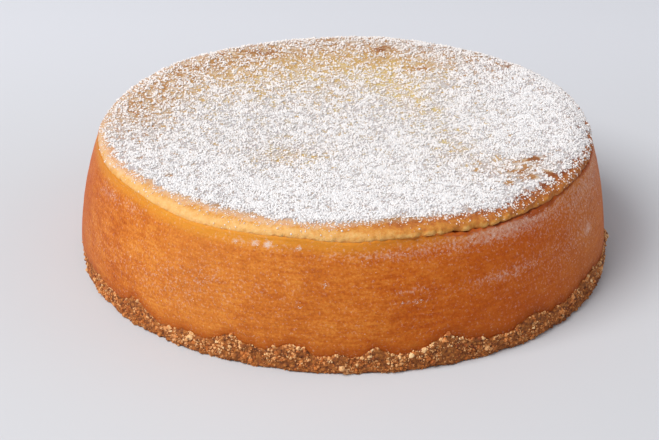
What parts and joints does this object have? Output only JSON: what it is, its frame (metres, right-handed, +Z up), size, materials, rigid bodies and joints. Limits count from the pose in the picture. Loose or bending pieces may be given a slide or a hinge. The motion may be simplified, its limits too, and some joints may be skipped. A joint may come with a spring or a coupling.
{
  "type": "baked cheesecake",
  "caption": "Whole round baked cheesecake on a pressed crumb base, with a leaning browned wall, a rolled crust lip and icing sugar dusted over its slightly sunken top.",
  "frame": {"origin": "centre of the flat underside", "axes": "+Z up through the cake's middle, -Y towards the front, +X to the right seen from the front"},
  "size_m": [0.2328, 0.2328, 0.0582],
  "materials": {
    "baked_cheese": "smooth baked cheese, orange brown on the wall and golden on the crust, with a faint moist sheen",
    "biscuit_crumb": "coarse pressed biscuit crumbs, tan and dark brown, matt",
    "icing_sugar": "sifted icing sugar in fine white flecks, matt"
  },
  "bodies": {
    "root": {"crumb_base": "biscuit_crumb", "cheese_filling": "baked_cheese"}
  },
  "joints": []
}
